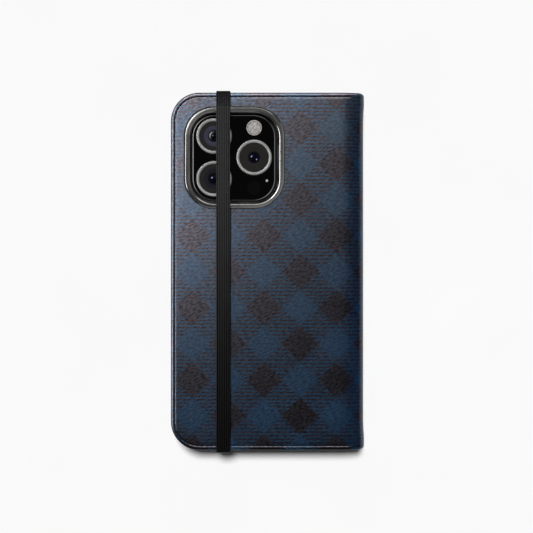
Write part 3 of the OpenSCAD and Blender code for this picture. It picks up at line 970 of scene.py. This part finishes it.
def elastic_band():
    """A ribbed strap from one tab, over the bezel, to the other."""
    thick = BAND_HIGH[1] - HALF_L - BAND_CLEAR
    leg = END_Y + BAND_CLEAR + thick / 2
    over = CASE_T + BAND_CLEAR + thick / 2
    crest = BEZEL_HIGH[2] + BAND_CLEAR + thick / 2
    tab_z = BAND_LOW[2] + thick / 2
    tuck = HALF_L - BAND_TAB
    lower_leg = -leg - BAND_SLACK
    points = [(tuck, tab_z), (leg, tab_z), (leg, over), (BEZEL_HIGH[1] - BAND_LAP, crest),
              (BEZEL_LOW[1] + BAND_LAP, crest), (lower_leg, over), (lower_leg, tab_z), (-tuck, tab_z)]
    path = rounded_path(points, BAND_BENDS)
    section = band_section(thick)
    rings = []
    for i, here in enumerate(path):
        before, after = path[max(i - 1, 0)], path[min(i + 1, len(path) - 1)]
        along = (after - before).normalized()
        outward = Vector((along.y, -along.x))
        rings.append([(BAND_X + across, *(here - outward * h)) for across, h in section])
    bm = bmesh.new()
    capped_loft(bm, rings)
    obj = finish_mesh("elastic_strap", bm, ELASTIC, SOFT_CREASE)
    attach(obj, "front_cover")
    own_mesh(obj)
    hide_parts("elastic_band")


# Camera bezel

def camera_bezel():
    """A metal rim with a flat top, a rounded outer edge and a slope down to the camera."""
    top, base, seat = BEZEL_HIGH[2], BEZEL_LOW[2], CASE_T + BEZEL_SEAT
    inner = [(-BEZEL_SKIRT, -1.3), (-0.4, -1.05), (-0.1, -0.68), (0.03, -0.47), (0.12, -0.33),
             (0.2, -0.24), (0.32, -0.17), (0.48, -0.095), (0.62, -0.035), (0.74, -0.007), (0.86, 0.0),
             (1.15, 0.0)]
    outer = [(BEZEL_CREST, 0.0), (1.6, -0.02), (1.72, -0.065), (1.87, -0.135), (2.02, -0.215),
             (2.2, -0.33), (2.38, -0.47), (2.55, -0.64), (2.68, -0.84), (BEZEL_RIM, -1.1)]
    profile = [(-BEZEL_SKIRT, base)] + [(out, top + h) for out, h in inner + outer]
    profile += [(BEZEL_RIM - 0.05, seat), (BEZEL_WALL, seat), (BEZEL_WALL, base)]
    rings = []
    for out, z in profile:
        inset = BEZEL_RIM - out
        outline = rounded_outline(BEZEL_LOW, BEZEL_HIGH, [BEZEL_CORNER + BEZEL_RIM] * 4, inset,
                                  OUTLINE_STEPS)
        share = smooth((out + LEAN_FADE) / LEAN_FADE) * (1 - smooth((out - LEAN_END) / LEAN_FADE))
        lean = BEZEL_LEAN * share
        rings.append(at_height([Vector(point) + lean for point in outline], z))
    bm = bmesh.new()
    loft(bm, rings, closed_loft=True)
    obj = finish_mesh("bezel_ring", bm, GUNMETAL, SOFT_CREASE)
    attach(obj, "back_cover")
    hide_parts("camera_bezel")


# Camera

LENS_DARK = srgb(13, 13, 18)


def camera_piece(name, bm, material, slot, *nodes):
    obj = finish_mesh(name, bm, material)
    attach(obj, "back_cover")
    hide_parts(*nodes)


def lens_places():
    (x, y, z), size = centre_and_size("lens_rings")
    off_x = (size[0] - LENS_D) / 2
    off_y = (size[1] - LENS_D) / 2
    return [(x - off_x, y + off_y), (x - off_x, y - off_y), (x + off_x, y)]


def edge_highlight_share(turn):
    """The share of ground edge, a painted highlight, where the outline faces that many quarter turns
    from +x.
    """
    place = 2 * turn
    before = int(place)
    ends = [GROUND_EDGE_HIGHLIGHT[k % len(GROUND_EDGE_HIGHLIGHT)] for k in (before, before + 1)]
    return ends[0] + (ends[1] - ends[0]) * (place - before)


def camera_plate():
    """A plate of black glass, from rings of (inset, height, share of ground edge). The pale ground edge
    has a painted highlight that is brighter on the sides facing the light.
    """
    low, high = box_mm("camera_plate")
    base, top = low[2], high[2]
    low[0] += PLATE_SHIFT
    high[0] += PLATE_SHIFT
    brim = -PLATE_FLANGE
    steps = [(0.1, base, 0), (0.0, base + 0.1, 0), (brim, top - 0.3, 0), (brim, top - 0.2, 1),
             (brim + 0.05, top - 0.08, 1), (brim + 0.2, top, 1), (brim + 0.3, top, 1),
             (brim + 0.4, top, 0), (PLATE_CORNER, top, 0)]
    rings = [at_height(rounded_outline(low, high, [PLATE_CORNER] * 4, inset, OUTLINE_STEPS), z)
             for inset, z, ground in steps]
    bm = bmesh.new()
    edge = bm.verts.layers.float.new("edge")
    made = loft(bm, rings)
    for ring, (inset, z, ground) in zip(made, steps):
        for k, vertex in enumerate(ring):
            quarter, step = divmod(k, OUTLINE_STEPS + 1)
            vertex[edge] = ground * edge_highlight_share(quarter + step / OUTLINE_STEPS)
    bm.faces.new(made[0])
    close_holes(bm)
    camera_piece("camera_island", bm, CAMERA_GLASS, "camera_glass", "camera_plate")


def lens_stops(grey, inner, painted_reflection, pupil):
    """The rings of a lens face as (radius, depth, colour), from its rim to its pupil."""
    return [(6.5, 0.3, grey), (6.35, 0.02, grey), (6.1, 0.0, grey), (4.7, 0.0, grey),
            (4.35, 0.02, inner), (2.8, 0.05, inner), (2.5, 0.2, LENS_DARK), (2.25, 0.24, LENS_DARK),
            (2.12, 0.26, painted_reflection), (pupil + 0.05, 0.3, painted_reflection), (pupil, 0.42, LENS_DARK),
            (pupil, 0.9, LENS_DARK), (6.5, 0.9, grey)]


def lens_faces(top):
    """Grey baffles, each with its own coated middle painted lighter on one side as a reflection, and a
    domed element in the pupil.
    """
    grey = srgb(38, 37, 36)
    pupils = (1.5, 1.9, 1.9)
    # The first lens's pale colour is a painted reflection of its barrel
    stops = (lens_stops(grey, srgb(56, 56, 71), srgb(150, 148, 143), pupils[0]),
             lens_stops(grey, srgb(31, 30, 36), srgb(16, 16, 22), pupils[1]),
             lens_stops(grey, grey, srgb(22, 22, 30), pupils[2]))
    bm = bmesh.new()
    tint = bm.verts.layers.float_color.new("tint")
    for centre, face in zip(lens_places(), stops):
        rings = lathe(bm, [(radius, top - depth) for radius, depth, colour in face], centre)
        for ring, (radius, depth, colour) in zip(rings, face):
            for vertex in ring:
                away = Vector((vertex.co.x - centre[0], vertex.co.y - centre[1])).normalized()
                # Painted reflection: inside that radius the colour goes from dark to light towards one
                # side
                lit = max(away.dot(PAINTED_REFLECTION_SIDE), 0.0) ** PAINTED_REFLECTION_REACH if radius < PAINTED_REFLECTION_R else 1.0
                vertex[tint] = [low + (high - low) * lit for low, high in zip(LENS_DARK, colour)]
    camera_piece("lens_baffles", bm, LENS_FACE, "lens_cover", "lens_covers")
    bm = bmesh.new()
    rim = top - DOME_SUNK
    for centre, pupil in zip(lens_places(), pupils):
        radius = pupil - WELD
        dome = [(radius, rim - DOME_T)]
        for k in range(DOME_STEPS + 1):
            share = cos(QUARTER * k / DOME_STEPS)
            dome.append((radius * share, rim + DOME_H * (1 - share ** 2)))
        dome.append((0.0, rim - DOME_T))
        lathe(bm, dome, centre)
    camera_piece("lens_domes", bm, LENS_GLASS, "lens_barrel", "lens_barrels")


def lenses():
    """Three rounded metal rings, with the faces and domes inside them."""
    low, high = box_mm("lens_rings")
    base, top = low[2], high[2]
    outer = LENS_D / 2
    inner = outer - RING_W
    ring = [(outer, base), (outer, top - 0.5), (outer - 0.07, top - 0.27), (outer - 0.22, top - 0.09),
            (outer - 0.45, top), (outer - 0.8, top - 0.01), (inner + 0.35, top - 0.1),
            (inner + 0.1, top - 0.28), (inner, top - 0.5), (inner, base)]
    bm = bmesh.new()
    for centre in lens_places():
        lathe(bm, ring, centre)
    camera_piece("lens_trim_rings", bm, RING_METAL, "lens_ring_metal", "lens_rings")
    lens_faces(top - FACE_SUNK)


def camera_window(name, node, material, slot, crown, rim=0.0):
    """A small round window in the plate, with a rounded rim where it has one."""
    centre, size = centre_and_size(node)
    radius = size[0] / 2 - WINDOW_FIT
    top = centre[2] + size[2] / 2 + WINDOW_PROUD
    base = centre[2] - size[2] / 2
    profile = [(radius, base), (radius, top - 0.08), (radius - 0.05, top + rim * 0.7),
               (radius - 0.2, top + rim), (radius * 0.86, top + rim * 0.7),
               (radius * 0.82, top - rim * 0.5), (radius * 0.76, top), (radius * 0.6, top + crown * 0.5),
               (radius * 0.3, top + crown * 0.9), (0.0, top + crown), (0.0, base)]
    bm = bmesh.new()
    lathe(bm, profile, centre, 48)
    camera_piece(name, bm, material, slot, node)


def camera():
    camera_plate()
    lenses()
    camera_window("flash_disc", "flash_window", FLASH, "flash", 0.08, rim=0.16)
    camera_window("depth_sensor_disc", "depth_sensor_window", SENSOR_GLASS, "sensor_glass", 0.03)
    camera_window("microphone_disc", "microphone_mesh", MICROPHONE, "microphone_metal", 0.03)


# Inside: pockets, tray and phone

def pocket(node, name, radii, sewn):
    """A sewn leather pocket: a soft-edged sheet and its line of thread."""
    low, high = box_mm(node)
    bottom, top = low[2] + POCKET_LIFT, high[2]
    turns = [QUARTER * k / POCKET_ROUNDS for k in range(POCKET_ROUNDS + 1)]
    edge = [(POCKET_BOTTOM_R * (1 - sin(a)), bottom + POCKET_BOTTOM_R * (1 - cos(a))) for a in turns]
    edge += [(POCKET_TOP_R * (1 - cos(a)), top - POCKET_TOP_R * (1 - sin(a))) for a in turns]
    bm = bmesh.new()
    capped_loft(bm, [at_height(rounded_outline(low, high, radii, inset), z) for inset, z in edge])
    obj = finish_mesh(name, bm, POCKET)
    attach(obj, "front_cover")
    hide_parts(node)
    bm = bmesh.new()
    for place, heading in walk(sewn(low, high)):
        stitch(bm, (place.x, place.y, top + POCKET_LIFT), heading)
    line = finish_mesh(name + "_thread", bm, THREAD)
    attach(line, "front_cover")


def three_sides(low, high):
    """A seam along three sides, for a mouth at the top."""
    left, right, bottom = low[0] + POCKET_SEAM, high[0] - POCKET_SEAM, low[1] + POCKET_SEAM
    mouth = high[1] - POCKET_MOUTH
    return [(left, mouth), (left, bottom), (right, bottom), (right, mouth)]


def cash_seam(low, high):
    """A seam round the free edge, for a mouth on the spine's side."""
    turn = POCKET_CORNER - POCKET_SEAM
    upper = [(high[0] - POCKET_MOUTH, high[1] - POCKET_SEAM)]
    for k in range(POCKET_STEPS + 1):
        angle = QUARTER * (1 + k / POCKET_STEPS)
        upper.append((low[0] + POCKET_CORNER + turn * cos(angle),
                      high[1] - POCKET_CORNER + turn * sin(angle)))
    return upper + [(x, -y) for x, y in reversed(upper)]


def pockets():
    pocket("cash_pocket", "cash_sleeve", (1.0, POCKET_CORNER, POCKET_CORNER, 1.0), cash_seam)
    for row in CARD_ROWS:
        pocket("card_pocket_" + row, "card_sleeve_" + row, (1.5, 1.5, 3.0, 3.0), three_sides)


def bevelled(node, name, width, material):
    """A copy of a moulded or machined CAD part with its sharp edges broken."""
    bm = bmesh.new()
    bm.from_mesh(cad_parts[node].data)
    bmesh.ops.remove_doubles(bm, verts=bm.verts, dist=WELD * MM)
    bmesh.ops.dissolve_limit(bm, angle_limit=radians(FLAT_ANGLE), verts=bm.verts, edges=bm.edges)
    bmesh.ops.scale(bm, vec=(1 / MM, 1 / MM, 1 / MM), verts=bm.verts)
    obj = finish_mesh(name, bm, material)
    bevel = obj.modifiers.new("edges", "BEVEL")
    bevel.width = width * MM
    bevel.segments = BEVEL_STEPS
    bevel.limit_method = "ANGLE"
    bevel.angle_limit = radians(BEVEL_ANGLE)
    apply_modifiers(obj)
    shade(obj.data, BEVEL_ANGLE)
    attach(obj, "back_cover")
    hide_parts(node)


def tray_and_phone():
    bevelled("phone_tray", "tray_shell", 0.35, TRAY_PLASTIC)
    bevelled("phone_housing", "phone_body", 0.4, PHONE_METAL)
    bevelled("phone_glass", "phone_front", 0.25, PHONE_GLASS)


def hidden_boards():
    for node, material in (("front_board", BOARD), ("back_board", BOARD), ("spine_board", BOARD),
                           ("tray_adhesive", ADHESIVE)):
        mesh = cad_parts[node].data
        mesh.materials.clear()
        mesh.materials.append(material)


# Floor, light and view

def floor():
    look = Look("pale_floor")
    cloud = look.noise(60.0, 3.0)
    tone = look.mix(cloud, srgb(246, 246, 246), srgb(251, 251, 251))
    look.set(Base_Color=tone, Roughness=look.noise_to(cloud, 0.55, 0.65), Specular_IOR_Level=0.2)
    half = FLOOR_HALF * MM
    mesh = bpy.data.meshes.new("floor")
    corners = ((-half, -half, 0), (half, -half, 0), (half, half, 0), (-half, half, 0))
    mesh.from_pydata(corners, (), ((0, 1, 2, 3),))
    mesh.materials.append(look.material)
    new_object("floor", mesh)


def lamp(name, kind, strength, towards, **settings):
    """A lamp that shines back along towards."""
    data = bpy.data.lights.new(name, kind)
    data.energy = strength
    for key, value in settings.items():
        setattr(data, key, value)
    obj = new_object(name, data)
    obj.rotation_euler = Vector(towards).to_track_quat("Z", "Y").to_euler()
    return obj


def sun(name, lean, strength, width):
    """A distant lamp that leans off the vertical along x and y."""
    towards = [tan(radians(angle)) for angle in lean] + [1]
    return lamp(name, "SUN", strength, towards, angle=radians(width))


def group_of(name, names):
    group = bpy.data.collections.new(name)
    for piece in names:
        group.objects.link(bpy.data.objects[piece])
    return group


def gloss_on(obj, lit):
    """The lamp shows only as gloss on the pieces lit. Only metal shades the fittings, so that the
    band leaves the lens rings bright."""
    obj.visible_diffuse = False
    obj.light_linking.receiver_collection = group_of(obj.name + "_reach", lit)
    if lit == FITTINGS:
        obj.light_linking.blocker_collection = group_of(obj.name + "_casters", BEZEL + FITTINGS)


def light():
    """A key for the soft shadow, then the lamps that draw each piece's highlights."""
    sun(*KEY).visible_glossy = False
    for name, lean, strength, width, lit in SHEENS:
        gloss_on(sun(name, lean, strength, width), lit)
    for name, place, (width, depth), strength, lit in SOFT_BOXES:
        box = lamp(name, "AREA", strength, place, shape="RECTANGLE", size=width * MM, size_y=depth * MM)
        box.location = Vector(place) * MM
        if name in LEVEL_BOXES:
            box.rotation_euler = (0, 0, 0)
        gloss_on(box, lit)
    world = bpy.data.worlds.new("studio")
    world.use_nodes = True
    background = world.node_tree.nodes["Background"]
    background.inputs["Color"].default_value = (1, 1, 1, 1)
    background.inputs["Strength"].default_value = WORLD_STRENGTH
    bpy.context.scene.world = world


def view():
    data = bpy.data.cameras.new("photo_view")
    data.sensor_width = SENSOR
    data.lens = VIEW_H * SENSOR / VIEW_FIELD
    obj = new_object("photo_view", data)
    obj.location = Vector((VIEW_X, VIEW_Y, CASE_T + VIEW_H)) * MM
    bpy.context.scene.camera = obj


bpy.context.scene.view_settings.view_transform = "Standard"
view()
covers()
cover_stitching()
elastic_band()
camera_bezel()
camera()
pockets()
tray_and_phone()
hidden_boards()
floor()
light()
